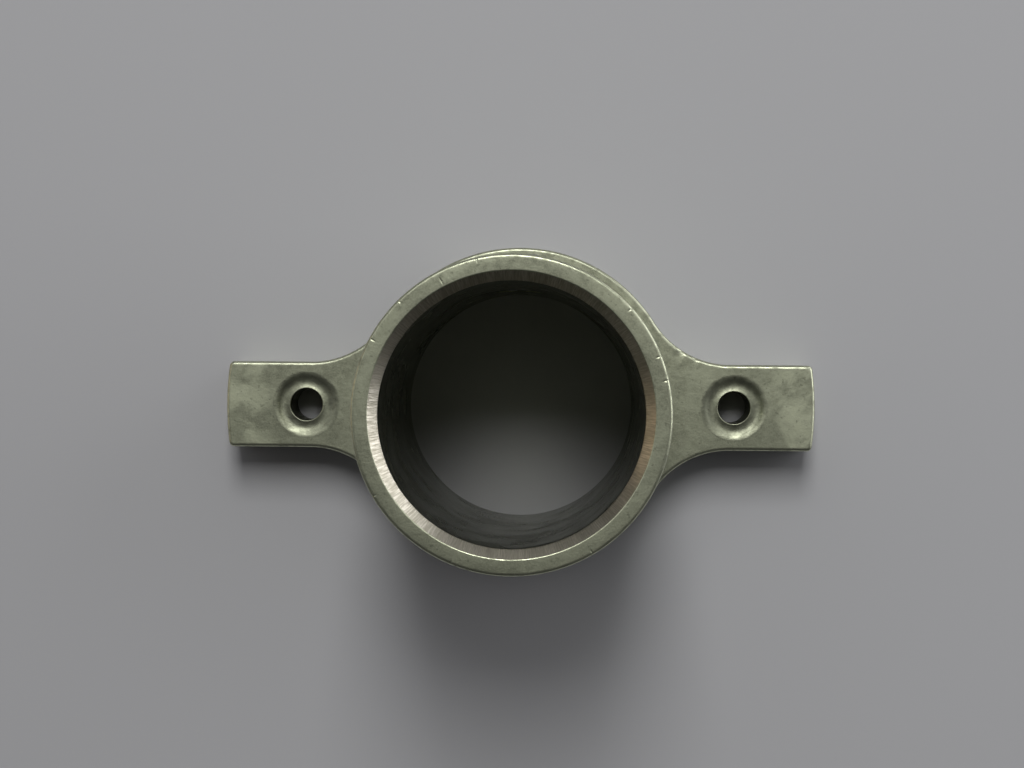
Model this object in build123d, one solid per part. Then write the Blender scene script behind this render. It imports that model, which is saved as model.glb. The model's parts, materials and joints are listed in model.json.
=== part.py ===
from build123d import *
import math
import os

# A stanchion base: a short upright socket that holds a deck stanchion, on a flange with two screw ears.
# Millimetres. +Z is up the socket, +X runs through the ears. The origin is on the socket's axis,
# level with the underside.

INCH = 25.4

# Socket tube
SOCKET_HEIGHT = 2 * INCH
TUBE_DIAMETER = 1.5 * INCH
BORE_DIAMETER = 1.25 * INCH
MOUTH_CHAMFER = 1.2
RIM_ROUND = 0.45
FOOT_CHAMFER = 0.3

# Base plate
OVERALL_LENGTH = 3.25 * INCH
FLANGE_DIAMETER = 1.75 * INCH
EAR_WIDTH = 12.0
EAR_ROOT_RADIUS = INCH / 2
EAR_CORNER_RADIUS = 0.7
PLATE_THICKNESS = INCH * 5 / 16
PLATE_EDGE_ROUND = 0.5
TUBE_SEAT_GAP = 0.05

# Screw holes in the ears, for No. 8 screws. Each stands in a shallow dish whose floor rises to the hole.
SCREW_SPACING = 60.0
SCREW_HOLE_DIAMETER = 4.5
DISH_DIAMETER = 9.3
TROUGH_DIAMETER = 6.2
DISH_SLOPE = 24.0
SEAT_SLOPE = 14.0
HOLE_EDGE_ROUND = 0.12

# Fillet weld round the foot of the tube
WELD_LEG = 2.0
WELD_BULGE = 0.2

# Set screw that grips the stanchion, 1/4 in by 3/16 in, cup point, hex socket
SET_SCREW_DIAMETER = INCH / 4
SET_SCREW_LENGTH = INCH * 3 / 16
SET_SCREW_HEIGHT = 16.5
SET_SCREW_END_CHAMFER = 0.4
HEX_ACROSS_FLATS = INCH / 8
HEX_DEPTH = 2.2
CUP_DIAMETER = 3.6
CUP_DEPTH = 0.9
BORE_STAND_OFF = 0.08
THREAD_CLEARANCE = 0.05
TAPPED_HOLE_LEAD_IN = 0.35

TUBE_RADIUS = TUBE_DIAMETER / 2
BORE_RADIUS = BORE_DIAMETER / 2

# How far a cutting shape runs past the surface it cuts
OVERSHOOT = 1.0


def plate_outline():
    """Round flange with two straight ears. The ear ends are arcs about the socket's axis."""
    flange = Circle(FLANGE_DIAMETER / 2)
    ears = Rectangle(OVERALL_LENGTH, EAR_WIDTH) & Circle(OVERALL_LENGTH / 2)
    outline = flange + ears
    roots = outline.vertices().filter_by(lambda corner: abs(corner.X) < FLANGE_DIAMETER / 2)
    outline = fillet(roots, EAR_ROOT_RADIUS)
    past_screws = SCREW_SPACING / 2 + SCREW_HOLE_DIAMETER
    ends = outline.vertices().filter_by(lambda corner: abs(corner.X) > past_screws)
    return fillet(ends, EAR_CORNER_RADIUS)


def screw_hole():
    """The empty space of one screw hole: a through hole under a shallow dish, its rim a little raised."""
    hole_radius = SCREW_HOLE_DIAMETER / 2
    dish_radius = DISH_DIAMETER / 2
    trough_radius = TROUGH_DIAMETER / 2
    dish_slope = math.radians(DISH_SLOPE)
    seat_slope = math.radians(SEAT_SLOPE)
    dish_bend = (dish_radius - trough_radius) / (2 * math.sin(dish_slope))
    rim_radius = hole_radius + HOLE_EDGE_ROUND * (1 + math.sin(seat_slope))
    seat_bend = (trough_radius - rim_radius) / math.sin(seat_slope)
    trough = PLATE_THICKNESS - 2 * dish_bend * (1 - math.cos(dish_slope))
    rim = trough + seat_bend * (1 - math.cos(seat_slope))
    edge_middle = rim - HOLE_EDGE_ROUND * math.cos(seat_slope)
    lip = CenterArc((dish_radius, PLATE_THICKNESS - dish_bend), dish_bend, 90, DISH_SLOPE)
    side = CenterArc((trough_radius, trough + dish_bend), dish_bend, 270 + DISH_SLOPE, -DISH_SLOPE)
    seat = CenterArc((trough_radius, trough + seat_bend), seat_bend, 270, -SEAT_SLOPE)
    edge_centre = (hole_radius + HOLE_EDGE_ROUND, edge_middle)
    edge = CenterArc(edge_centre, HOLE_EDGE_ROUND, 90 - SEAT_SLOPE, 90 + SEAT_SLOPE)
    rest = Polyline(
        edge @ 1,
        (hole_radius, -OVERSHOOT),
        (0, -OVERSHOOT),
        (0, PLATE_THICKNESS + OVERSHOOT),
        (dish_radius, PLATE_THICKNESS + OVERSHOOT),
        lip @ 0,
    )
    section = make_face(lip + side + seat + edge + rest)
    return revolve(Plane.XZ * section, Axis.Z)


def base_plate():
    """Flange and ears in one plate, bored for the tube and drilled for two screws."""
    plate = extrude(plate_outline(), PLATE_THICKNESS)
    top_edges = plate.faces().sort_by(Axis.Z)[-1].edges()
    plate = fillet(top_edges, PLATE_EDGE_ROUND)
    seat_radius = TUBE_RADIUS + TUBE_SEAT_GAP
    plate -= Cylinder(seat_radius, PLATE_THICKNESS, align=(Align.CENTER, Align.CENTER, Align.MIN))
    for side in (-1, 1):
        plate -= Pos(side * SCREW_SPACING / 2, 0, 0) * screw_hole()
    return plate


def tube_section():
    """Half section of the tube wall, in the XZ plane."""
    wall = Polyline(
        (BORE_RADIUS, FOOT_CHAMFER),
        (BORE_RADIUS + FOOT_CHAMFER, 0),
        (TUBE_RADIUS, 0),
        (TUBE_RADIUS, SOCKET_HEIGHT),
        (BORE_RADIUS + MOUTH_CHAMFER, SOCKET_HEIGHT),
        (BORE_RADIUS, SOCKET_HEIGHT - MOUTH_CHAMFER),
        close=True,
    )
    section = make_face(wall)
    rim = section.vertices().sort_by_distance((TUBE_RADIUS, SOCKET_HEIGHT, 0))[0]
    return Plane.XZ * fillet(rim, RIM_ROUND)


def set_screw_frame():
    """Plane at the socket's axis, at the set screw's height, with its Z pointing out through the wall."""
    return Plane(origin=(0, 0, SET_SCREW_HEIGHT), x_dir=(1, 0, 0), z_dir=(0, 1, 0))


def tapped_hole():
    """The empty space of the set screw's hole, with a small lead-in at the outer wall."""
    radius = SET_SCREW_DIAMETER / 2 + THREAD_CLEARANCE
    bore = Cylinder(radius, TUBE_RADIUS + OVERSHOOT, align=(Align.CENTER, Align.CENTER, Align.MIN))
    lead_in = Cone(
        radius,
        radius + TAPPED_HOLE_LEAD_IN + OVERSHOOT,
        TAPPED_HOLE_LEAD_IN + OVERSHOOT,
        align=(Align.CENTER, Align.CENTER, Align.MIN),
    )
    return set_screw_frame() * (bore + Pos(0, 0, TUBE_RADIUS - TAPPED_HOLE_LEAD_IN) * lead_in)


def socket_tube():
    """Straight tube, open at both ends, with a chamfered mouth and one tapped hole."""
    return revolve(tube_section(), Axis.Z) - tapped_hole()


def weld_bead():
    """Slightly convex fillet weld in the corner of the tube and the plate."""
    foot = (TUBE_RADIUS + WELD_LEG, PLATE_THICKNESS)
    crown = (TUBE_RADIUS, PLATE_THICKNESS + WELD_LEG)
    root = (TUBE_RADIUS, PLATE_THICKNESS)
    middle = WELD_LEG / 2 + WELD_BULGE / math.sqrt(2)
    face = ThreePointArc(foot, (TUBE_RADIUS + middle, PLATE_THICKNESS + middle), crown)
    section = make_face(Polyline(crown, root, foot) + face)
    return revolve(Plane.XZ * section, Axis.Z)


def set_screw():
    """Cup-point set screw, standing just clear of the bore."""
    inner_end = BORE_RADIUS + BORE_STAND_OFF
    screw = Cylinder(SET_SCREW_DIAMETER / 2, SET_SCREW_LENGTH, align=(Align.CENTER, Align.CENTER, Align.MIN))
    screw = chamfer(screw.edges().filter_by(GeomType.CIRCLE), SET_SCREW_END_CHAMFER)
    hexagon = RegularPolygon(HEX_ACROSS_FLATS / 2, 6, major_radius=False)
    screw -= Pos(0, 0, SET_SCREW_LENGTH - HEX_DEPTH) * extrude(hexagon, HEX_DEPTH)
    screw -= Cone(CUP_DIAMETER / 2, 0, CUP_DEPTH, align=(Align.CENTER, Align.CENTER, Align.MIN))
    return set_screw_frame() * Pos(0, 0, inner_end) * screw


PARTS = {
    "base_plate": base_plate,
    "socket_tube": socket_tube,
    "weld_bead": weld_bead,
    "set_screw": set_screw,
}

os.makedirs("parts", exist_ok=True)
for node, make in PARTS.items():
    export_step(make(), f"parts/{node}.step")
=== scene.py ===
import json
import math

import bmesh
import bpy
import numpy as np
from mathutils import Matrix, Vector, noise
from mathutils.geometry import delaunay_2d_cdt


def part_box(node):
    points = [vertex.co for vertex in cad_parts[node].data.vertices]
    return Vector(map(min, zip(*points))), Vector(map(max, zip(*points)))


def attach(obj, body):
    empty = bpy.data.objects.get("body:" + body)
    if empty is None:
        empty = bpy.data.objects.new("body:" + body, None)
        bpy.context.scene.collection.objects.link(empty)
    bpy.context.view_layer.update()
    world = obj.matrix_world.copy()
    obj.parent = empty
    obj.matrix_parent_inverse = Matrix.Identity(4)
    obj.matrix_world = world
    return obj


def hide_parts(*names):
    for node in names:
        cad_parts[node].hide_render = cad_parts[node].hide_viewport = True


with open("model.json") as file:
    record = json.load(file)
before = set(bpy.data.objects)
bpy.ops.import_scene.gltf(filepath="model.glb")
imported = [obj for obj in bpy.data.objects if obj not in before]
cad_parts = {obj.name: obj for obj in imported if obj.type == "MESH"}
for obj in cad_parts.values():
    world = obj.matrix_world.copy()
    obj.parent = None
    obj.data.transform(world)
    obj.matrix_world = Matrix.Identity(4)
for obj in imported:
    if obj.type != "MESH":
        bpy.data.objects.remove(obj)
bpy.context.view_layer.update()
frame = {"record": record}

MM = 0.001

# ---------------------------------------------------------------------------
# Sizes, in metres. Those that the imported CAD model's boxes and mounts show are
# read from it. The rest repeat its numbers, or are small breaks of edges.
# ---------------------------------------------------------------------------
MOUNTS = {mount["name"]: mount for mount in frame["record"]["mounts"]}

HALF_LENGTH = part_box("base_plate")[1].x
FLANGE_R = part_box("base_plate")[1].y
PLATE_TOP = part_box("base_plate")[1].z
TUBE_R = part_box("socket_tube")[1].x
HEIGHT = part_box("socket_tube")[1].z
BORE_R = MOUNTS["stanchion_socket"]["dims"]["r_mm"] * MM
SCREW_X = MOUNTS["deck_screws"]["dims"]["spacing_x_mm"] * MM / 2
HOLE_R = MOUNTS["deck_screws"]["dims"]["hole_r_mm"] * MM
WELD_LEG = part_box("weld_bead")[1].z - PLATE_TOP
GRUB_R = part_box("set_screw")[1].x
GRUB_Z = (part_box("set_screw")[0].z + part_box("set_screw")[1].z) / 2
GRUB_INNER_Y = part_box("set_screw")[0].y
GRUB_OUTER_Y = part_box("set_screw")[1].y

EAR_HALF_WIDTH = 6.0 * MM
EAR_ROOT_R = 12.7 * MM
EAR_CORNER_R = 0.7 * MM
PLATE_EDGE_R = 0.5 * MM
PLATE_FOOT_BREAK = 0.12 * MM
SEAT_GAP = 0.05 * MM
DISH_R = 4.65 * MM
DISH_BOTTOM_R = 3.1 * MM
DISH_SLOPE = math.radians(24)
SEAT_SLOPE = math.radians(14)
HOLE_EDGE_R = 0.12 * MM
HOLE_FOOT_BREAK = 0.15 * MM
GRUB_FLARE = 0.35 * MM
MOUTH_CHAMFER = 1.2 * MM
RIM_ROUND = 0.45 * MM
FOOT_CHAMFER = 0.3 * MM
THREAD_GAP = 0.05 * MM
TUBE_FOOT_BREAK = 0.15 * MM
MOUTH_EDGE_BREAK = 0.01 * MM
SUPPORT = 0.06 * MM          # how near a support loop stands to a rounded edge

# How finely round shapes are divided
RIM_POINTS = 480
SEAT_POINTS = 256
HOLE_POINTS = 120
WALL_STEPS = 26

# ---------------------------------------------------------------------------
# Mesh tools
# ---------------------------------------------------------------------------


def new_object(name, verts, faces, face_slots, materials):
    """Smooth-shaded mesh object with its materials and each face's slot."""
    mesh = bpy.data.meshes.new(name)
    mesh.from_pydata([tuple(v) for v in verts], [], faces)
    for material in materials:
        mesh.materials.append(material)
    mesh.polygons.foreach_set("material_index", face_slots)
    mesh.polygons.foreach_set("use_smooth", [True] * len(mesh.polygons))
    mesh.update()
    piece = bpy.data.objects.new(name, mesh)
    bpy.context.collection.objects.link(piece)
    return piece


def even_angles(count):
    return np.linspace(0.0, 2 * math.pi, count, endpoint=False)


def circle(radius, z, angles, centre=(0.0, 0.0)):
    """Ring of points at the given angles, counter-clockwise seen from above."""
    if isinstance(angles, int):
        angles = even_angles(angles)
    x = centre[0] + radius * np.cos(angles)
    y = centre[1] + radius * np.sin(angles)
    return np.stack([x, y, np.full(len(angles), z)], axis=1)


def between(start, end, steps):
    """Points of a straight run in a half section, without its last point."""
    share = np.linspace(0.0, 1.0, steps, endpoint=False)[:, None]
    return list(np.array(start) + share * (np.array(end) - np.array(start)))


def turn(centre, radius, start_deg, end_deg, steps):
    """Points of an arc in a half section, both ends included."""
    angle = np.radians(np.linspace(start_deg, end_deg, steps + 1))
    return [np.array([centre[0] + radius * math.cos(a), centre[1] + radius * math.sin(a)]) for a in angle]


class Shell:
    """Collects rings and patches, then welds them into one mesh."""

    def __init__(self):
        self.verts = []
        self.faces = []
        self.slots = []

    def add(self, points, faces, slot):
        base = len(self.verts)
        self.verts.extend(points)
        self.faces.extend([tuple(base + i for i in face) for face in faces])
        self.slots.extend([slot] * len(faces))

    def skin(self, rings, slot=0, closed=False):
        """Quads through rings with equal counts. Going up the outside gives outward faces."""
        count = len(rings[0])
        points = [point for ring in rings for point in ring]
        last = len(rings) if closed else len(rings) - 1
        faces = []
        for i in range(last):
            here = i * count
            there = (i + 1) % len(rings) * count
            for j in range(count):
                k = (j + 1) % count
                faces.append((here + j, here + k, there + k, there + j))
        self.add(points, faces, slot)

    def lid(self, ring, flip=False):
        """Fan from a ring to its centre."""
        count = len(ring)
        centre = np.mean(ring, axis=0)
        faces = [(j, (j + 1) % count, count) for j in range(count)]
        if flip:
            faces = [face[::-1] for face in faces]
        self.add(list(ring) + [centre], faces, 0)

    def build(self, name, materials):
        piece = new_object(name, self.verts, self.faces, self.slots, materials)
        bm = bmesh.new()
        bm.from_mesh(piece.data)
        bmesh.ops.remove_doubles(bm, verts=bm.verts, dist=1e-7)
        bmesh.ops.delete(bm, geom=[v for v in bm.verts if not v.link_faces], context="VERTS")
        bm.to_mesh(piece.data)
        bm.free()
        mark_corners(piece)
        return piece


CORNER_ANGLE = math.radians(40)


def mark_corners(piece):
    """Marks real corners as sharp, so that the faces beside them are shaded flat."""
    bm = bmesh.new()
    bm.from_mesh(piece.data)
    for edge in bm.edges:
        edge.smooth = edge.calc_face_angle(0.0) < CORNER_ANGLE
    bm.to_mesh(piece.data)
    bm.free()


def lathe(shell, section, angles, slot=0, centre=(0.0, 0.0)):
    """Turns a half section of (radius, z) points about a vertical axis."""
    shell.skin([circle(r, z, angles, centre) for r, z in section], slot)


ROW_PITCH = 0.87                 # height of an even triangle, as a share of its side
SPOT_SHIFT = 0.15                # how far a point strays from its even place, as a share of the spacing
EDGE_CLEARANCE = 0.6             # how far points stay from the loops, as a share of the spacing


def flat_face(shell, outer, holes, z, spacing, seed, flip=False):
    """Even triangles over a flat region with an outer loop and round holes (loop, centre, radius)."""
    random = np.random.default_rng(seed)
    loops = [outer] + [loop for loop, _, _ in holes]
    points = []
    edges = []
    for loop in loops:
        base = len(points)
        points.extend([Vector(p[:2]) for p in loop])
        edges.extend([(base + j, base + (j + 1) % len(loop)) for j in range(len(loop))])
    boundary = np.array(points)
    low = boundary.min(axis=0)
    high = boundary.max(axis=0)
    for row, y in enumerate(np.arange(low[1], high[1], spacing * ROW_PITCH)):
        for x in np.arange(low[0] + (row % 2) * spacing / 2, high[0], spacing):
            spot = np.array([x, y]) + random.uniform(-SPOT_SHIFT, SPOT_SHIFT, 2) * spacing
            if np.min(np.hypot(*(boundary - spot).T)) > spacing * EDGE_CLEARANCE:
                points.append(Vector(spot))
    out, _, faces, *_ = delaunay_2d_cdt(points, edges, [], 1, 1e-9)
    corners = np.array([tuple(p) for p in out])
    kept = []
    for face in faces:
        middle = corners[list(face)].mean(axis=0)
        clear = all(math.dist(middle, centre) > radius * 0.999 for _, centre, radius in holes)
        if clear and inside(middle, outer):
            kept.append(tuple(face)[::-1] if flip else tuple(face))
    shell.add([(x, y, z) for x, y in corners], kept, 0)


def inside(point, loop):
    """True if a point is inside a loop, by crossings."""
    x, y = point
    xs = np.array([p[0] for p in loop])
    ys = np.array([p[1] for p in loop])
    next_x = np.roll(xs, -1)
    next_y = np.roll(ys, -1)
    spans = (ys > y) != (next_y > y)
    with np.errstate(divide="ignore", invalid="ignore"):
        cross = xs + (y - ys) / (next_y - ys) * (next_x - xs)
    return np.count_nonzero(spans & (x < cross)) % 2 == 1


def move_points(piece, function):
    """Passes each vertex through function(x, y, z) -> (x, y, z)."""
    for vertex in piece.data.vertices:
        vertex.co = Vector(function(*vertex.co))
    piece.data.update()


def bump_noise(x, y, z, size):
    """Smooth noise from -1 to 1 with features of about the given size."""
    return noise.noise(Vector((x / size, y / size, z / size)))


# ---------------------------------------------------------------------------
# Pieces
# ---------------------------------------------------------------------------
NICKS = (  # angle in degrees, length in millimetres, distance in from the outside in millimetres
    (13, 0.9, 0.3), (22, 1.1, 0.2), (42, 1.0, 0.2), (103, 0.8, 0.3), (118, 0.9, 1.2),
    (135, 0.7, 0.2), (152, 0.9, 0.4), (211, 0.5, 0.3), (248, 0.6, 0.2), (301, 0.5, 0.4),
)
NICK_WIDTH = 0.09 * MM
NICK_DEPTH = 0.07 * MM
NICK_REACH = 4                   # where a nick has faded out, in nick widths
KNOCK_MARGIN = 0.3 * MM          # how far down the chamfer the knocks reach
RIM_CROWN = 0.012 * MM
RIM_EDGE_R = 0.22 * MM


def rim_angles():
    """Even steps round the socket, with finer steps at each nick."""
    steps = [even_angles(RIM_POINTS)]
    for degrees, _, _ in NICKS:
        steps.append(math.radians(degrees) + np.linspace(-NICK_REACH, NICK_REACH, 17) * NICK_WIDTH / TUBE_R)
    return np.unique(np.round(np.concatenate(steps) % (2 * math.pi), 6))


def nick_drop(angle, radius):
    """How far small knocks across the rim lower its surface."""
    drop = 0.0
    for degrees, length, inward in NICKS:
        turn_to = angle - math.radians(degrees)
        across = math.atan2(math.sin(turn_to), math.cos(turn_to)) * radius / NICK_WIDTH
        if abs(across) < NICK_REACH:
            along = (TUBE_R - inward * MM - radius) / (length * MM / 2)
            drop += NICK_DEPTH * math.exp(-across * across) * max(0.0, 1.0 - along * along)
    return drop


def tube_piece(materials):
    """Socket tube: cast outside and rim, turned mouth, smooth bore, and the set screw's hole."""
    rim_z = HEIGHT - RIM_ROUND
    rim_r = TUBE_R - RIM_ROUND
    mouth_r = BORE_R + MOUTH_CHAMFER
    mouth_z = HEIGHT - MOUTH_CHAMFER
    edge_run = RIM_EDGE_R * math.tan(math.radians(22.5))
    wall_top = (TUBE_R, rim_z - SUPPORT)
    outside = between((TUBE_R, TUBE_FOOT_BREAK), wall_top, WALL_STEPS)
    outside += [wall_top] + turn((rim_r, rim_z), RIM_ROUND, 0, 90, 8)
    outside += between((rim_r - SUPPORT, HEIGHT), (mouth_r + edge_run + SUPPORT, HEIGHT), 8)
    outside += [(mouth_r + edge_run + SUPPORT, HEIGHT)]
    outside += turn((mouth_r + edge_run, HEIGHT - RIM_EDGE_R), RIM_EDGE_R, 90, 135, 5)
    chamfer_end = (BORE_R + SUPPORT, mouth_z + SUPPORT)
    chamfer = [outside[-1]] + between(outside[-1] + np.array([-SUPPORT, -SUPPORT]), chamfer_end, 6)
    chamfer += [chamfer_end, (BORE_R + MOUTH_EDGE_BREAK, mouth_z)]
    bore = [chamfer[-1]] + between((BORE_R, mouth_z - SUPPORT), (BORE_R, FOOT_CHAMFER), WALL_STEPS)
    bore += [(BORE_R, FOOT_CHAMFER)]
    foot = [(BORE_R, FOOT_CHAMFER), (BORE_R + FOOT_CHAMFER, 0), (BORE_R + FOOT_CHAMFER + SUPPORT, 0)]
    foot += [(TUBE_R - TUBE_FOOT_BREAK, 0), (TUBE_R, TUBE_FOOT_BREAK)]
    shell = Shell()
    angles = rim_angles()
    for slot, section in ((0, outside), (1, chamfer), (2, bore), (0, foot)):
        lathe(shell, section, angles, slot)
    tube = shell.build("socket_tube_skin", materials)
    land_middle = (rim_r + mouth_r) / 2
    land_half = (rim_r - mouth_r) / 2
    inner_limit = mouth_r - KNOCK_MARGIN

    def knock(x, y, z):
        radius = math.hypot(x, y)
        if z < mouth_z or radius < inner_limit:
            return x, y, z
        near_top = (z - mouth_z) / MOUTH_CHAMFER
        crown = RIM_CROWN * min(1.0, ((radius - land_middle) / land_half) ** 2)
        return x, y, z - near_top * (crown + nick_drop(math.atan2(y, x), radius))

    move_points(tube, knock)
    cut(tube, grub_hole())
    return tube


def grub_hole():
    """Cutter for the set screw's hole: a cylinder along +Y with a flared mouth."""
    radius = GRUB_R + THREAD_GAP
    mouth = radius + GRUB_FLARE
    past = 1 * MM
    section = [(radius, BORE_R - 2 * past), (radius, TUBE_R - GRUB_FLARE)]
    section += [(mouth, TUBE_R), (mouth + past, TUBE_R + past)]
    shell = Shell()
    rings = [circle(r, z, 96) for r, z in section]
    shell.skin(rings)
    shell.lid(rings[0], flip=True)
    shell.lid(rings[-1])
    cutter = shell.build("grub_hole", ())
    place_on_wall(cutter)
    return cutter


def place_on_wall(piece):
    """Turns a piece made along +Z so that it lies along +Y at the set screw's height."""
    to_wall = Matrix.Translation((0, 0, GRUB_Z)) @ Matrix.Rotation(math.radians(-90), 4, "X")
    piece.data.transform(to_wall)
    piece.data.update()


def cut(piece, cutter):
    """Takes the cutter's volume out of the piece for good, and removes the cutter."""
    modifier = piece.modifiers.new("hole", "BOOLEAN")
    modifier.operation = "DIFFERENCE"
    modifier.solver = "EXACT"
    modifier.object = cutter
    graph = bpy.context.evaluated_depsgraph_get()
    result = bpy.data.meshes.new_from_object(piece.evaluated_get(graph))
    piece.modifiers.clear()
    piece.data = result
    bpy.data.objects.remove(cutter)
    mark_corners(piece)


def quadrant(inset):
    """Plate outline from +X round to +Y, moved inward by inset."""
    root_y = EAR_HALF_WIDTH + EAR_ROOT_R
    root_x = math.sqrt((FLANGE_R + EAR_ROOT_R) ** 2 - root_y ** 2)
    corner_y = EAR_HALF_WIDTH - EAR_CORNER_R
    corner_x = math.sqrt((HALF_LENGTH - EAR_CORNER_R) ** 2 - corner_y ** 2)
    root_deg = math.degrees(math.atan2(root_y, root_x))
    corner_deg = math.degrees(math.atan2(corner_y, corner_x))
    points = turn((0, 0), HALF_LENGTH - inset, 0, corner_deg, 9)[:-1]
    points += turn((corner_x, corner_y), EAR_CORNER_R - inset, corner_deg, 90, 6)
    points += between((corner_x, EAR_HALF_WIDTH - inset), (root_x, EAR_HALF_WIDTH - inset), 60)[1:]
    points += turn((root_x, root_y), EAR_ROOT_R + inset, 270, 180 + root_deg, 60)
    points += turn((0, 0), FLANGE_R - inset, root_deg, 90, 90)[1:]
    return np.array(points)


def outline(inset, z):
    """Whole plate outline at a height, counter-clockwise."""
    first = quadrant(inset)
    second = first[::-1][1:] * (-1, 1)
    upper = np.concatenate([first, second])
    lower = upper[::-1][1:-1] * (1, -1)
    loop = np.concatenate([upper, lower])
    return np.column_stack([loop, np.full(len(loop), z)])


def hole_sections():
    """One screw hole's half section, in two runs: the dished seat, and the wall down to the underside."""
    reach = (DISH_R - DISH_BOTTOM_R) / (2 * math.sin(DISH_SLOPE))
    rim_r = HOLE_R + HOLE_EDGE_R * (1 + math.sin(SEAT_SLOPE))
    rise = (DISH_BOTTOM_R - rim_r) / math.sin(SEAT_SLOPE)
    bottom_z = PLATE_TOP - 2 * reach * (1 - math.cos(DISH_SLOPE))
    rim_z = bottom_z + rise * (1 - math.cos(SEAT_SLOPE))
    edge_centre = (HOLE_R + HOLE_EDGE_R, rim_z - HOLE_EDGE_R * math.cos(SEAT_SLOPE))
    dish_deg = math.degrees(DISH_SLOPE)
    seat_deg = math.degrees(SEAT_SLOPE)

    dish = [(DISH_R + SUPPORT, PLATE_TOP)]
    dish += turn((DISH_R, PLATE_TOP - reach), reach, 90, 90 + dish_deg, 12)
    dish += turn((DISH_BOTTOM_R, bottom_z + reach), reach, 270 + dish_deg, 270, 12)[1:]
    dish += turn((DISH_BOTTOM_R, bottom_z + rise), rise, 270, 270 - seat_deg, 8)[1:]
    dish += turn(edge_centre, HOLE_EDGE_R, 90 - seat_deg, 180, 6)[1:]
    wall = [dish[-1]] + between((HOLE_R, edge_centre[1] - SUPPORT), (HOLE_R, HOLE_FOOT_BREAK), 8)
    wall += [(HOLE_R, HOLE_FOOT_BREAK), (HOLE_R + HOLE_FOOT_BREAK, 0)]
    return dish, wall


TOP_SPACING = 0.8 * MM
UNDERSIDE_SPACING = 1.6 * MM


def plate_piece(materials):
    """Base plate: rounded top edges, dished screw holes, a bore for the tube and a flat underside."""
    shell = Shell()
    foot = PLATE_FOOT_BREAK
    edge = PLATE_EDGE_R
    layers = [outline(foot + SUPPORT, 0), outline(foot, 0), outline(0, foot)]
    layers += [outline(0, z) for z in np.linspace(foot + SUPPORT, PLATE_TOP - edge - SUPPORT, 8)]
    for angle in np.radians(np.linspace(0, 90, 10)):
        layers.append(outline(edge * (1 - math.cos(angle)), PLATE_TOP - edge * (1 - math.sin(angle))))
    layers.append(outline(edge + SUPPORT, PLATE_TOP))
    shell.skin(layers)

    seat = TUBE_R + SEAT_GAP
    lathe(shell, [(seat, PLATE_TOP), (seat, 0)], SEAT_POINTS)
    dish, wall = hole_sections()
    top_r = dish[0][0]
    bottom_r = wall[-1][0]
    top_holes = [(circle(seat, PLATE_TOP, SEAT_POINTS), (0, 0), seat)]
    bottom_holes = [(circle(seat, 0, SEAT_POINTS), (0, 0), seat)]
    for side in (-1, 1):
        centre = (side * SCREW_X, 0)
        lathe(shell, dish, HOLE_POINTS, 1, centre)
        lathe(shell, wall, HOLE_POINTS, 2, centre)
        top_holes.append((circle(top_r, PLATE_TOP, HOLE_POINTS, centre), centre, top_r))
        bottom_holes.append((circle(bottom_r, 0, HOLE_POINTS, centre), centre, bottom_r))
    flat_face(shell, layers[-1], top_holes, PLATE_TOP, TOP_SPACING, seed=3)
    flat_face(shell, layers[0], bottom_holes, 0, UNDERSIDE_SPACING, seed=4, flip=True)
    plate = shell.build("base_plate_skin", materials)
    move_points(plate, cast_sag)
    move_points(plate, edge_knock)
    return plate


SAG_SIZES = (7 * MM, 2.2 * MM)   # how wide the broad and the fine hollows are
SAG_DEPTHS = (0.05, 0.02)        # and how deep, in millimetres
SAG_FADE = 4                     # how fast they fade towards the underside


def cast_sag(x, y, z):
    """Slight hollows of a tumbled surface, deepest on top and none at the underside."""
    if math.hypot(x, y) < TUBE_R + WELD_LEG:
        return x, y, z
    low = 0.5 + 0.5 * bump_noise(x, y, 0.0, SAG_SIZES[0])
    fine = 0.5 + 0.5 * bump_noise(x, y, 9.0, SAG_SIZES[1])
    return x, y, z - (SAG_DEPTHS[0] * low + SAG_DEPTHS[1] * fine) * MM * (z / PLATE_TOP) ** SAG_FADE


EDGE_KNOCKS = (  # x and y on the plate's top edge, and reach, all in millimetres
    (22.5, 7.7, 0.85), (24.7, 6.9, 0.70), (40.7, 5.7, 0.80), (28.6, 6.0, 0.45),
    (-33.5, 6.0, 0.40), (-40.9, 5.5, 0.50), (35.2, -5.9, 0.45), (-27.9, -6.1, 0.40),
)
KNOCK_DEPTH = 0.16               # of the reach


def edge_knock(x, y, z):
    """Small flats knocked into the plate's top edges."""
    drop = 0.0
    for knock_x, knock_y, reach in EDGE_KNOCKS:
        away = math.dist((x, y, z), (knock_x * MM, knock_y * MM, PLATE_TOP)) / (reach * MM)
        if away < 1:
            drop += KNOCK_DEPTH * reach * MM * (1 - away * away) ** 2
    return x, y, z - drop


WELD_RIPPLES = 74
WELD_BULGE = 0.2 * MM
RIPPLE_BOW = 0.45                # how far a ripple's middle runs ahead of its ends, in ripples
RIPPLE_WANDER = 0.12             # how uneven the ripples are, in ripples
RIPPLE_RISE = 0.8                # share of each ripple that climbs
RIPPLE_FALL = 0.2                # and share that drops back
RIPPLE_DIP = 0.10                # in millimetres


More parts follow.
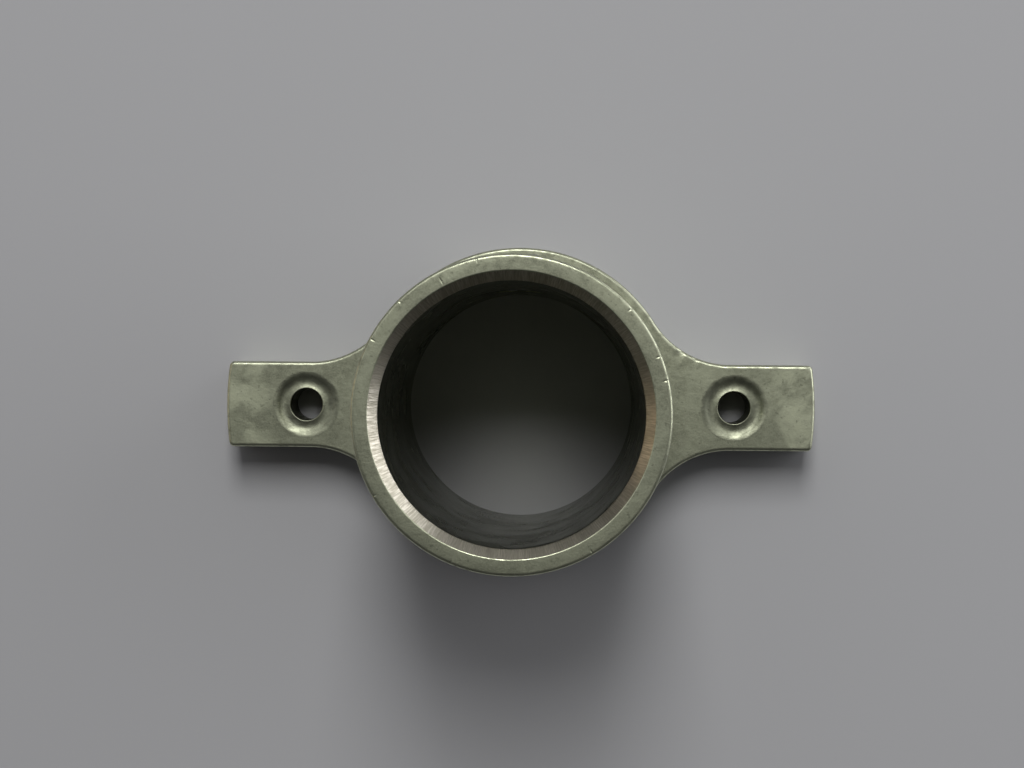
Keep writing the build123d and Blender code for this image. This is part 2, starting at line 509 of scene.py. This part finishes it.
def weld_piece(materials):
    """Fillet weld with soft crescent ripples. It only ever dips below the CAD bead."""
    count = 1184
    steps = 14
    root = np.array([TUBE_R, PLATE_TOP])
    foot = np.array([TUBE_R + WELD_LEG, PLATE_TOP])
    crown = np.array([TUBE_R, PLATE_TOP + WELD_LEG])
    outward = np.array([1.0, 1.0]) / math.sqrt(2)
    angle = even_angles(count)
    rings = []
    for step in range(steps + 1):
        share = step / steps
        arch = math.sin(math.pi * share)
        base = foot + (crown - foot) * share + outward * WELD_BULGE * arch
        phase = angle * WELD_RIPPLES / (2 * math.pi) + RIPPLE_BOW * (1 - arch)
        wander = np.array([bump_noise(math.cos(a) * 9, math.sin(a) * 9, share, 1.0) for a in angle])
        saw = (phase + RIPPLE_WANDER * wander) % 1.0
        ripple = np.where(saw < RIPPLE_RISE, saw / RIPPLE_RISE, (1 - saw) / RIPPLE_FALL)
        dip = arch * (RIPPLE_DIP * (1 - ripple) + RIPPLE_DIP * (0.5 - 0.5 * wander)) * MM
        radius = base[0] - outward[0] * dip
        height = base[1] - outward[1] * dip
        rings.append(np.stack([radius * np.cos(angle), radius * np.sin(angle), height], axis=1))
    rings.append(circle(root[0], root[1], count))
    shell = Shell()
    shell.skin(rings, closed=True)
    return shell.build("weld_bead_skin", materials)


THREAD_PITCH = 25.4 / 20 * MM
THREAD_DEPTH = 0.62 * MM
THREAD_STEPS = 97


def grub_screw_piece(materials):
    """Set screw with a real helical thread, a hex socket in its outer end and a cup point."""
    count = 120
    length = GRUB_OUTER_Y - GRUB_INNER_Y
    chamfer = 0.4 * MM
    half_flats = 25.4 / 16 * MM
    hex_lead_in = 0.12 * MM
    lead_in_depth = 0.10 * MM
    floor_break = 0.05 * MM
    hex_depth = 2.2 * MM
    cup_r = 1.8 * MM
    cup_depth = 0.9 * MM
    angle = even_angles(count)

    def threaded(z):
        phase = (z / THREAD_PITCH - angle / (2 * math.pi)) % 1.0
        groove = np.clip(1.15 - 2.3 * np.abs(phase - 0.5), 0.0, 1.0)
        radius = GRUB_R - THREAD_DEPTH * groove
        end_limit = GRUB_R - max(0.0, chamfer - z, z - (length - chamfer)) * 1.4
        radius = np.minimum(radius, end_limit)
        return np.stack([radius * np.cos(angle), radius * np.sin(angle), np.full(count, z)], axis=1)

    def hexagon(z, inset=0.0):
        wedge = (angle + math.pi / 6) % (math.pi / 3) - math.pi / 6
        radius = (half_flats - inset) / np.cos(wedge)
        return np.stack([radius * np.cos(angle), radius * np.sin(angle), np.full(count, z)], axis=1)

    shell = Shell()
    shell.skin([threaded(z) for z in np.linspace(0, length, THREAD_STEPS)])
    outer_edge = threaded(length)
    hex_edge = hexagon(length, -hex_lead_in)
    shell.skin([outer_edge, (outer_edge + hex_edge) / 2, hex_edge, hexagon(length - lead_in_depth)])
    floor_z = length - hex_depth
    shell.skin([hexagon(length - lead_in_depth), hexagon(length - 2 * lead_in_depth),
                hexagon(floor_z + floor_break), hexagon(floor_z, floor_break)])
    shell.lid(hexagon(floor_z, floor_break))
    inner_edge = threaded(0.0)
    shell.skin([circle(cup_r, 0, count), (inner_edge + circle(cup_r, 0, count)) / 2, inner_edge])
    shell.skin([circle(0.1 * MM, cup_depth - 0.05 * MM, count), circle(cup_r * 0.5, cup_depth * 0.5, count),
                circle(cup_r - 0.05 * MM, 0.03 * MM, count), circle(cup_r, 0, count)])
    shell.lid(circle(0.1 * MM, cup_depth - 0.05 * MM, count), flip=True)
    screw = shell.build("set_screw_skin", materials)
    screw.data.transform(Matrix.Translation((0, 0, GRUB_INNER_Y)))
    place_on_wall(screw)
    return screw


# ---------------------------------------------------------------------------
# Materials
# ---------------------------------------------------------------------------


class Graph:
    """Short spellings for one material's nodes."""

    def __init__(self, name):
        self.material = bpy.data.materials.new(name)
        self.material.use_nodes = True
        self.nodes = self.material.node_tree.nodes
        self.links = self.material.node_tree.links
        self.shader = self.nodes["Principled BSDF"]
        coordinates = self.nodes.new("ShaderNodeTexCoord")
        self.place = coordinates.outputs["Object"]
        self.normal = self.nodes.new("ShaderNodeNewGeometry").outputs["Normal"]

    def feed(self, socket, value):
        if isinstance(value, bpy.types.NodeSocket):
            self.links.new(value, socket)
        else:
            socket.default_value = value

    def math(self, operation, *values):
        node = self.nodes.new("ShaderNodeMath")
        node.operation = operation
        for socket, value in zip(node.inputs, values):
            self.feed(socket, value)
        return node.outputs[0]

    def xyz(self, vector):
        node = self.nodes.new("ShaderNodeSeparateXYZ")
        self.feed(node.inputs[0], vector)
        return node.outputs

    def vector(self, x, y, z):
        node = self.nodes.new("ShaderNodeCombineXYZ")
        for socket, value in zip(node.inputs, (x, y, z)):
            self.feed(socket, value)
        return node.outputs[0]

    def noise(self, size, detail=2.0, roughness=0.5, place=None, distortion=0.0):
        """Noise whose features are about size metres across, from 0 to 1."""
        node = self.nodes.new("ShaderNodeTexNoise")
        self.feed(node.inputs["Vector"], place or self.place)
        node.inputs["Scale"].default_value = 1.0 / size
        node.inputs["Detail"].default_value = detail
        node.inputs["Roughness"].default_value = roughness
        node.inputs["Distortion"].default_value = distortion
        return node.outputs["Fac"]

    def ramp(self, value, low, high, out_low=0.0, out_high=1.0):
        """Smooth change from out_low at low to out_high at high."""
        node = self.nodes.new("ShaderNodeMapRange")
        node.interpolation_type = "SMOOTHSTEP"
        self.feed(node.inputs["Value"], value)
        node.inputs["From Min"].default_value = low
        node.inputs["From Max"].default_value = high
        node.inputs["To Min"].default_value = out_low
        node.inputs["To Max"].default_value = out_high
        return node.outputs["Result"]

    def mix(self, share, first, second):
        node = self.nodes.new("ShaderNodeMix")
        node.data_type = "RGBA"
        self.feed(node.inputs["Factor"], share)
        self.feed(node.inputs["A"], first)
        self.feed(node.inputs["B"], second)
        return node.outputs["Result"]

    def bump(self, height, distance, strength=1.0, under=None):
        node = self.nodes.new("ShaderNodeBump")
        node.inputs["Strength"].default_value = strength
        node.inputs["Distance"].default_value = distance
        self.feed(node.inputs["Height"], height)
        if under is not None:
            self.feed(node.inputs["Normal"], under)
        return node.outputs["Normal"]

    def finish(self, color, roughness, normal):
        """Bare metal with the given color, roughness and bumps."""
        self.feed(self.shader.inputs["Base Color"], color)
        self.feed(self.shader.inputs["Roughness"], roughness)
        self.feed(self.shader.inputs["Normal"], normal)
        self.feed(self.shader.inputs["Metallic"], 1.0)
        return self.material


def grey(level, warmth=0.0):
    """Metal grey with a slight olive cast."""
    return (level * (0.96 + warmth), level, level * (0.74 - warmth), 1.0)


CAST_LEVEL = 0.30
EAR_PALE_FROM = 31 * MM           # distance from the middle where the ear tops begin to turn paler
EAR_PALE_TO = 39 * MM             # and where they are fully paler


def cast_metal(name, edge_wear=1.0, polish=0.0):
    """Tumbled casting: cloudy patches, paler rubs, paler still towards the ear ends, fine grain, edges
    rubbed bright.
    """
    g = Graph(name)
    level = CAST_LEVEL
    cloud = g.noise(8 * MM, 3.0, 0.55)
    rub = g.noise(5 * MM, 4.0, 0.62, distortion=0.6)
    mottle = g.noise(1.1 * MM, 4.0, 0.6)
    grain = g.noise(0.22 * MM, 3.0, 0.65)
    pits = g.noise(0.5 * MM, 2.0, 0.5)
    tone = g.math("ADD", g.math("MULTIPLY", cloud, 0.5), g.math("MULTIPLY", mottle, 0.5))
    color = g.mix(g.ramp(tone, 0.34, 0.66), grey(level * 0.74), grey(level * 1.26))
    color = g.mix(g.ramp(rub, 0.48, 0.78, 0.0, 0.42), color, grey(level * 1.8, -0.01))
    along_ear = g.math("ABSOLUTE", g.xyz(g.place)[0])
    # Paler patches towards the ear ends, following the rub noise.
    near_end = g.ramp(along_ear, EAR_PALE_FROM, EAR_PALE_TO)
    paler_ear_ends = g.math("MULTIPLY", near_end, g.ramp(rub, 0.40, 0.60, 0.0, 0.7))
    color = g.mix(paler_ear_ends, color, grey(level * 2.1))
    color = g.mix(g.ramp(grain, 0.35, 0.75, 0.0, 0.45), color, grey(level * 1.6))
    color = g.mix(g.ramp(pits, 0.62, 0.74, 0.0, 0.5), color, grey(level * 0.45))
    tilt = g.math("ABSOLUTE", g.xyz(g.normal)[2])
    rounded = g.math("MULTIPLY", g.ramp(tilt, 0.10, 0.45), g.ramp(tilt, 0.995, 0.93, 0.0, edge_wear))
    worn = g.math("MULTIPLY", rounded, g.ramp(mottle, 0.30, 0.55, 0.35, 1.0))
    color = g.mix(worn, color, grey(0.62))
    roughness = g.math("SUBTRACT", g.ramp(mottle, 0.3, 0.7, 0.60 - polish, 0.46 - polish),
                       g.math("MULTIPLY", worn, 0.18))
    normal = g.bump(grain, 0.016 * MM, 0.8)
    normal = g.bump(mottle, 0.05 * MM, 0.6, normal)
    return g.finish(color, roughness, normal)


def round_coordinates(g):
    """Unit direction from the socket's axis, and the height."""
    x, y, z = g.xyz(g.place)
    radius = g.math("SQRT", g.math("ADD", g.math("MULTIPLY", x, x), g.math("MULTIPLY", y, y)))
    return g.math("DIVIDE", x, radius), g.math("DIVIDE", y, radius), z


def wrapped(g, ux, uy, z, around, along):
    """Place for a noise wrapped round the socket, from its fineness around the axis and along it."""
    around_x = g.math("MULTIPLY", ux, around)
    around_y = g.math("MULTIPLY", uy, around)
    return g.vector(around_x, around_y, g.math("MULTIPLY", z, along))


def turned_mouth(name):
    """Freshly cut chamfer with fine chatter marks across it."""
    g = Graph(name)
    ux, uy, z = round_coordinates(g)
    chatter = g.noise(1.0, 3.0, 0.6, wrapped(g, ux, uy, z, around=110.0, along=900.0))
    broad = g.noise(1.0, 2.0, 0.5, wrapped(g, ux, uy, z, around=9.0, along=0.0))
    color = g.mix(g.ramp(chatter, 0.35, 0.68), (0.50, 0.47, 0.38, 1), (0.74, 0.70, 0.61, 1))
    color = g.mix(g.ramp(broad, 0.35, 0.7, 0.0, 0.35), color, (0.34, 0.32, 0.25, 1))
    roughness = g.ramp(chatter, 0.3, 0.7, 0.46, 0.34)
    normal = g.bump(chatter, 0.02 * MM, 0.7)
    return g.finish(color, roughness, normal)


def smooth_bore(name):
    """Reamed bore: faint rings, long rub marks, and patchy dark greys that are painted shade of the deep
    bore.
    """
    g = Graph(name)
    ux, uy, z = round_coordinates(g)
    rings = g.noise(1.0, 2.0, 0.5, wrapped(g, ux, uy, z, around=0.7, along=4500.0))
    rubs = g.noise(1.0, 3.0, 0.6, wrapped(g, ux, uy, z, around=45.0, along=45.0))
    patchy_shade = g.noise(7 * MM, 4.0, 0.6)
    # Painted shade: the bore's dark greys stand in for the shade deep in the socket, varied in patches.
    color = g.mix(g.ramp(patchy_shade, 0.35, 0.65), grey(0.19, 0.01), grey(0.27))
    color = g.mix(g.ramp(rubs, 0.45, 0.75, 0.0, 0.3), color, grey(0.36))
    roughness = g.ramp(patchy_shade, 0.3, 0.7, 0.30, 0.20)
    normal = g.bump(rings, 0.004 * MM, 0.5)
    normal = g.bump(rubs, 0.006 * MM, 0.5, normal)
    return g.finish(color, roughness, normal)


def hole_wall(name):
    """Drilled wall of a screw hole, painted dark as the shade inside the narrow hole, in patches."""
    g = Graph(name)
    patchy_shade = g.noise(1.5 * MM, 3.0, 0.6)
    grain = g.noise(0.2 * MM, 3.0, 0.6)
    # Painted shade: near-black greys stand in for the shade inside the hole.
    color = g.mix(g.ramp(patchy_shade, 0.35, 0.65), grey(0.10), grey(0.20))
    normal = g.bump(grain, 0.012 * MM, 0.7)
    return g.finish(color, g.ramp(patchy_shade, 0.3, 0.7, 0.55, 0.42), normal)


def weld_metal(name):
    """Weld bead: cleaner metal, faint straw tint, fine grain."""
    g = Graph(name)
    patch = g.noise(3 * MM, 3.0, 0.55)
    grain = g.noise(0.18 * MM, 3.0, 0.6)
    color = g.mix(g.ramp(patch, 0.35, 0.65), grey(0.34, 0.06), grey(0.50, 0.02))
    color = g.mix(g.ramp(grain, 0.45, 0.75, 0.0, 0.3), color, grey(0.62))
    normal = g.bump(grain, 0.01 * MM, 0.7)
    return g.finish(color, g.ramp(patch, 0.3, 0.7, 0.36, 0.46), normal)


def screw_steel(name):
    """Bright set screw steel with faint handling marks."""
    g = Graph(name)
    patch = g.noise(1.5 * MM, 3.0, 0.55)
    grain = g.noise(0.12 * MM, 3.0, 0.6)
    color = g.mix(g.ramp(patch, 0.35, 0.65), (0.36, 0.36, 0.35, 1), (0.56, 0.56, 0.54, 1))
    normal = g.bump(grain, 0.004 * MM, 0.6)
    return g.finish(color, g.ramp(patch, 0.3, 0.7, 0.22, 0.34), normal)


# ---------------------------------------------------------------------------
# Stage
# ---------------------------------------------------------------------------


FLOOR_COLOR = (0.50, 0.50, 0.52, 1.0)
FLOOR_HALF_WIDTH = 1.5
FLOOR_DROP = 0.02 * MM           # how far the floor lies below the part


def floor():
    """Plain pale floor."""
    g = Graph("pale_floor")
    g.shader.inputs["Base Color"].default_value = FLOOR_COLOR
    g.shader.inputs["Roughness"].default_value = 0.8
    half = FLOOR_HALF_WIDTH
    z = -FLOOR_DROP
    corners = [(-half, -half, z), (half, -half, z), (half, half, z), (-half, half, z)]
    sheet = new_object("floor", corners, [(0, 1, 2, 3)], [0], [g.material])


def softbox(name, azimuth, elevation, distance, size, power, color=(1, 1, 1)):
    """Rectangular soft light aimed at the middle of the part. Azimuth 0 is +X, 90 is +Y."""
    light = bpy.data.lights.new(name, "AREA")
    light.shape = "RECTANGLE"
    light.size, light.size_y = size
    light.energy = power
    light.color = color
    lamp = bpy.data.objects.new(name, light)
    bpy.context.collection.objects.link(lamp)
    a = math.radians(azimuth)
    e = math.radians(elevation)
    away = Vector((math.cos(a) * math.cos(e), math.sin(a) * math.cos(e), math.sin(e)))
    lamp.location = Vector((0, 0, HEIGHT / 2)) + away * distance
    lamp.rotation_mode = "QUATERNION"
    lamp.rotation_quaternion = away.to_track_quat("Z", "Y")


ROOM_FADE_IN = (0.30, 0.55)      # sine of the elevation where the room's light begins and is full
ROOM_FADE_OUT = (0.88, 0.72)     # and where it has gone again and is still full
ROOM_FADE_NORTH = (-0.45, 0.25)  # direction's Y where the room is dimmest and where it is full
ROOM_SOUTH = 0.10                # how much of the room's light is left towards -Y
ROOM_STRENGTH = 0.60
ROOM_FLOOR = 0.004


def room():
    """Room light from the sides, dark overhead and at the horizon, and dim towards -Y."""
    world = bpy.data.worlds.new("room")
    world.use_nodes = True
    nodes = world.node_tree.nodes
    links = world.node_tree.links
    background = nodes["Background"]
    background.inputs["Color"].default_value = (0.97, 0.98, 1.0, 1)
    split = nodes.new("ShaderNodeSeparateXYZ")
    links.new(nodes.new("ShaderNodeTexCoord").outputs["Generated"], split.inputs[0])
    shares = []
    fades = ((2, *ROOM_FADE_IN, 0.0), (2, *ROOM_FADE_OUT, 0.0), (1, *ROOM_FADE_NORTH, ROOM_SOUTH))
    for axis, start, end, least in fades:
        fade = nodes.new("ShaderNodeMapRange")
        fade.interpolation_type = "SMOOTHSTEP"
        links.new(split.outputs[axis], fade.inputs["Value"])
        fade.inputs["From Min"].default_value = start
        fade.inputs["From Max"].default_value = end
        fade.inputs["To Min"].default_value = least
        shares.append(fade.outputs["Result"])
    dimmed = shares[0]
    for share in shares[1:]:
        product = nodes.new("ShaderNodeMath")
        product.operation = "MULTIPLY"
        links.new(dimmed, product.inputs[0])
        links.new(share, product.inputs[1])
        dimmed = product.outputs[0]
    strength = nodes.new("ShaderNodeMath")
    strength.operation = "MULTIPLY_ADD"
    links.new(dimmed, strength.inputs[0])
    strength.inputs[1].default_value = ROOM_STRENGTH
    strength.inputs[2].default_value = ROOM_FLOOR
    links.new(strength.outputs[0], background.inputs["Strength"])
    bpy.context.scene.world = world


def lights():
    """Soft key from the +Y side, a low side light, a dim warm fill, and the room's light."""
    softbox("key", 90, 56, 0.9, (0.26, 0.50), 4.0, (1.0, 1.0, 0.98))
    softbox("side", 22, 9, 0.7, (0.75, 0.20), 1.7)
    softbox("warm", 172, 8, 0.8, (0.4, 0.2), 0.22, (1.0, 0.76, 0.48))
    room()
    bpy.context.scene.view_settings.view_transform = "Standard"


CAMERA_AT = Vector((6.1, 6.6, 273.0)) * MM
CAMERA_AIM = Vector((-1.3, 3.0, 0.0)) * MM
CAMERA_ROLL = -0.45
CAMERA_LENS = 66.5
CAMERA_SENSOR = 36.0
CAMERA_NEAR = 0.01


def camera():
    """Looks almost straight down into the socket, from 273 mm above the floor."""
    lens = bpy.data.cameras.new("camera")
    lens.lens = CAMERA_LENS
    lens.sensor_width = CAMERA_SENSOR
    lens.clip_start = CAMERA_NEAR
    view = bpy.data.objects.new("camera", lens)
    bpy.context.collection.objects.link(view)
    back = (CAMERA_AT - CAMERA_AIM).normalized()
    up = Vector((math.sin(math.radians(CAMERA_ROLL)), math.cos(math.radians(CAMERA_ROLL)), 0))
    right = up.cross(back).normalized()
    up = back.cross(right)
    view.matrix_world = Matrix.Translation(CAMERA_AT) @ Matrix((right, up, back)).transposed().to_4x4()
    bpy.context.scene.camera = view


# ---------------------------------------------------------------------------
# The scene
# ---------------------------------------------------------------------------
camera()
lights()
floor()

cast = cast_metal("cast_metal")
tube = tube_piece([cast, turned_mouth("turned_mouth"), smooth_bore("smooth_bore")])
plate = plate_piece([cast, cast_metal("screw_seat", edge_wear=0.0, polish=0.10), hole_wall("hole_wall")])
weld = weld_piece([weld_metal("weld_metal")])
grub = grub_screw_piece([screw_steel("screw_steel")])

for piece, node, body, slot in (
    (plate, "base_plate", "base", "cast_metal"),
    (tube, "socket_tube", "base", "socket_metal"),
    (weld, "weld_bead", "base", "weld_metal"),
    (grub, "set_screw", "set_screw", "screw_steel"),
):
    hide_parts(node)
    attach(piece, body)
